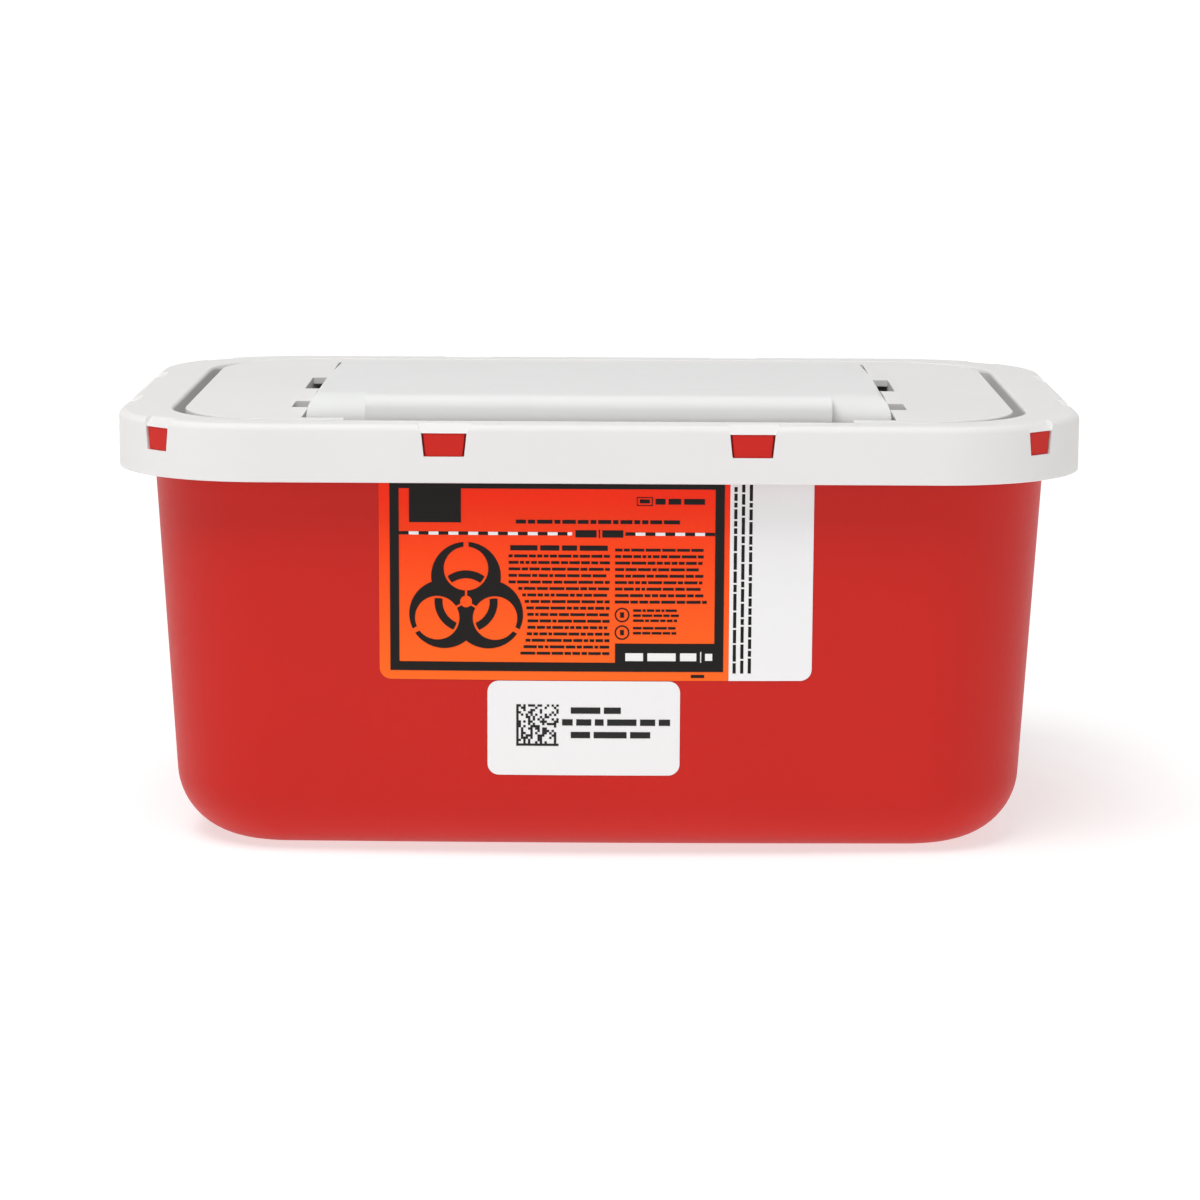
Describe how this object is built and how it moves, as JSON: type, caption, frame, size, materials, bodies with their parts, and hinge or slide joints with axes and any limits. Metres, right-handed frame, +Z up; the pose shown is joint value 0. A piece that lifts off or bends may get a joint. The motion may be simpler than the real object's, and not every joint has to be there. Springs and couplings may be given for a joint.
{
  "type": "sharps container",
  "caption": "Rectangular tub with a white press-down lid, a rocking drop door in its top, a printed hazard label and a small sticker on the front.",
  "frame": {"origin": "middle of the base, on the surface that it stands on", "axes": "+X along the long side, to the right of someone who faces the label; +Y to the back; +Z up; the labelled front faces -Y"},
  "size_m": [0.2574, 0.177, 0.1237],
  "materials": {
    "tub_plastic": "fine satin moulded polypropylene, red",
    "lid_plastic": "soft-gloss moulded polypropylene, white, slightly translucent",
    "door_plastic": "natural translucent polypropylene, soft gloss",
    "label_print": "printed film label, orange with black print and a white side strip",
    "sticker_paper": "white coated paper sticker with black print"
  },
  "bodies": {
    "container": {"tub": "tub_plastic", "lid": "lid_plastic", "hazard_label": "label_print", "lot_sticker": "sticker_paper"},
    "door": {"drop_door": "door_plastic"}
  },
  "joints": [
    {"name": "door_pivot", "type": "hinge", "parent": "container", "child": "door", "pos_m": [0, -0.017, 0.1134], "axis": [-1, 0, 0], "range_deg": [0, 60]}
  ]
}
